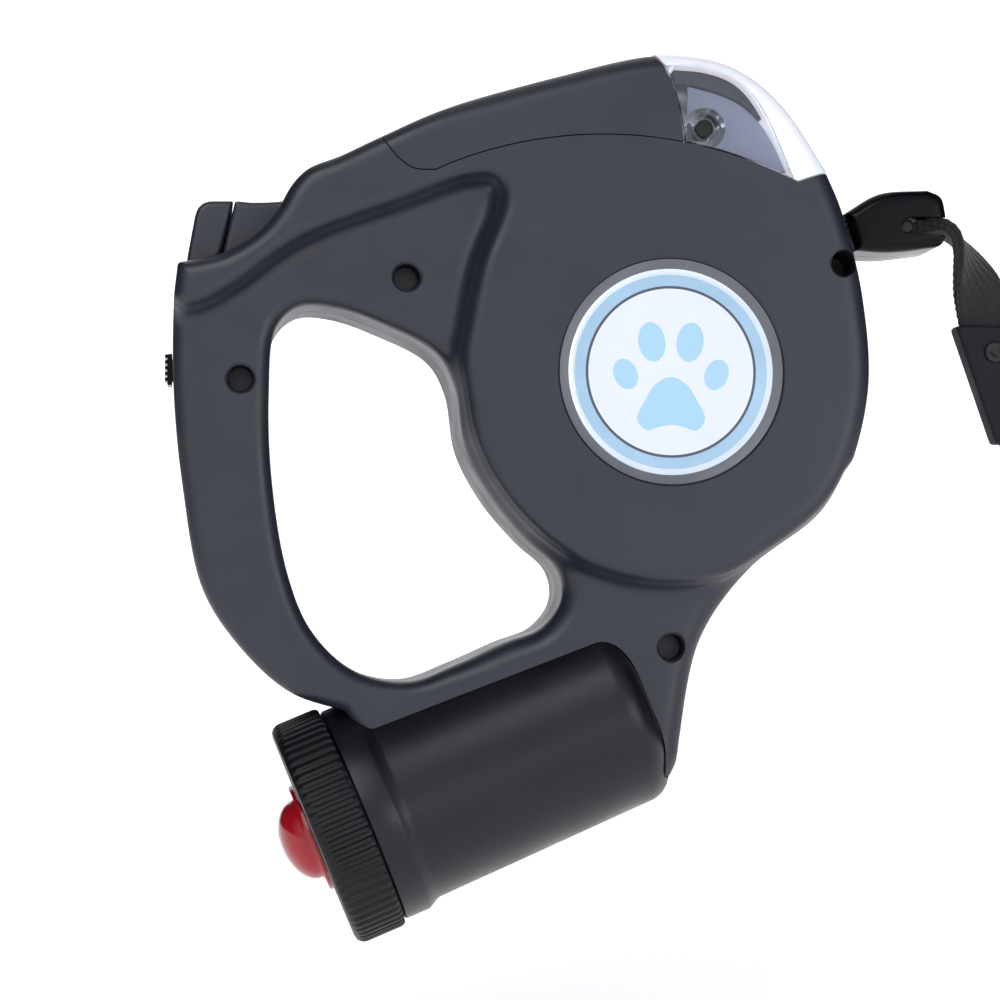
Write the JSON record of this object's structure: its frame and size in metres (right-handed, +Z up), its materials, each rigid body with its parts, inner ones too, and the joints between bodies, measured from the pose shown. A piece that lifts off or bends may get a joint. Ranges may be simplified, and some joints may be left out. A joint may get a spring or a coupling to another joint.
{
  "type": "retractable leash",
  "caption": "Retractable leash: a sprung tape spool in a two-part case with a closed hand grip, thumb brake, top lamp, waste-bag barrel and a strap ending in a swivel snap.",
  "frame": {"origin": "centre of the hand's grip, on the plane where the case parts", "axes": "+X forward, the way the tape leaves; +Z up, towards the lamp; +Y towards the case's left half"},
  "size_m": [0.229, 0.0528, 0.1987],
  "materials": {
    "shell": "fine moulded grain",
    "black_plastic": "satin moulding",
    "grey_plastic": "plain moulding",
    "label": "printed film",
    "lens": "clear moulded polycarbonate",
    "white_plastic": "translucent moulding",
    "steel": "nickel plated",
    "board": "circuit board lacquer",
    "cell": "printed sleeve",
    "webbing": "flat woven webbing",
    "red_rubber": "glossy, a little translucent",
    "seal": "matt",
    "film": "thin bag film, rolled",
    "card": "grey card"
  },
  "bodies": {
    "case": {"case_right": "shell", "case_left": "shell", "case_screw_1": "steel", "case_screw_2": "steel", "case_screw_3": "steel", "case_screw_4": "steel", "label_right": "label", "label_left": "label", "lamp_cover": "shell", "lamp_lens": "lens", "lamp_diffuser": "white_plastic", "lamp_reflector": "black_plastic", "lamp_board": "board", "led_1": "white_plastic", "led_2": "white_plastic", "led_3": "white_plastic", "cell_1": "cell", "cell_2": "cell", "contact_rear": "steel", "contact_front": "steel", "lamp_screw": "steel", "axle": "steel", "spring_arbor": "black_plastic", "power_spring": "steel", "mouth_guide": "black_plastic", "bag_barrel": "shell", "button_spring": "steel"},
    "spool": {"spool": "grey_plastic", "spool_cover": "grey_plastic", "tape_coil": "webbing"},
    "tape_end": {"tape_lead": "webbing", "stopper_right": "black_plastic", "stopper_left": "black_plastic", "stopper_pin": "steel", "end_strap": "webbing", "strap_sleeve": "black_plastic", "rivet": "steel"},
    "eye": {"swivel_eye": "steel"},
    "snap": {"snap_body": "steel", "bolt_spring": "steel"},
    "bolt": {"snap_bolt": "steel"},
    "brake_button": {"brake_button": "shell"},
    "brake_rod": {"brake_rod": "grey_plastic"},
    "lock": {"lock_slider": "shell"},
    "lamp_switch": {"lamp_switch": "black_plastic"},
    "rear_slide": {"rear_slide": "black_plastic"},
    "seal": {"cap_seal": "seal"},
    "cap": {"bag_cap": "black_plastic", "bag_outlet": "red_rubber"},
    "roll": {"bag_roll": "film", "roll_core": "card"}
  },
  "joints": [
    {"name": "tape_pull", "type": "slide", "parent": "case", "child": "tape_end", "axis": [1, 0, 0], "range_m": [0, 0.0373], "stiffness_N_per_m": 40, "springref_m": -0.1},
    {"name": "spool_spin", "type": "hinge", "parent": "case", "child": "spool", "pos_m": [0.099, 0, 0.014], "axis": [0, 1, 0], "range_deg": [0, 60]},
    {"name": "eye_swing", "type": "hinge", "parent": "tape_end", "child": "eye", "pos_m": [0.19293, 0, -0.01762], "axis": [0.9455, 0, 0.3256], "range_deg": [-60, 60]},
    {"name": "snap_swivel", "type": "hinge", "parent": "eye", "child": "snap", "pos_m": [0.19293, 0, -0.01762], "axis": [-0.3256, 0, 0.9455], "continuous": true},
    {"name": "bolt_slide", "type": "slide", "parent": "snap", "child": "bolt", "axis": [-0.3256, 0, 0.9455], "range_m": [0, 0.006], "stiffness_N_per_m": 600, "springref_m": -0.006, "deforming": ["bolt_spring"]},
    {"name": "brake_press", "type": "slide", "parent": "case", "child": "brake_button", "axis": [-0.2258, 0, -0.9742], "range_m": [0, 0.003], "stiffness_N_per_m": 1000, "springref_m": -0.003, "deforming": ["button_spring"]},
    {"name": "rod_slide", "type": "slide", "parent": "case", "child": "brake_rod", "axis": [0.97, 0, -0.243], "range_m": [0, 0.0035]},
    {"name": "lock_slide", "type": "slide", "parent": "case", "child": "lock", "axis": [1, 0, 0], "range_m": [0, 0.004]},
    {"name": "lamp_switch_slide", "type": "slide", "parent": "case", "child": "lamp_switch", "axis": [1, 0, 0], "range_m": [-0.0025, 0]},
    {"name": "rear_slide_shift", "type": "slide", "parent": "case", "child": "rear_slide", "axis": [0, 0, 1], "range_m": [0, 0.0025]},
    {"name": "cap_lift", "type": "slide", "parent": "case", "child": "seal", "axis": [-0.9239, 0, -0.3827], "range_m": [0, 0.003]},
    {"name": "cap_twist", "type": "hinge", "parent": "seal", "child": "cap", "pos_m": [0.0318, 0, -0.0849], "axis": [-0.9239, 0, -0.3827], "range_deg": [0, 360]},
    {"name": "roll_spin", "type": "hinge", "parent": "case", "child": "roll", "pos_m": [0.0318, 0, -0.0849], "axis": [0.9239, 0, 0.3827], "continuous": true}
  ],
  "couplings": [
    {"joint": "spool_spin", "follows": "tape_pull", "rad_per_m": 28.05},
    {"joint": "rod_slide", "follows": "brake_press", "ratio": 1.1667},
    {"joint": "cap_twist", "follows": "cap_lift", "rad_per_m": 2094.4}
  ]
}
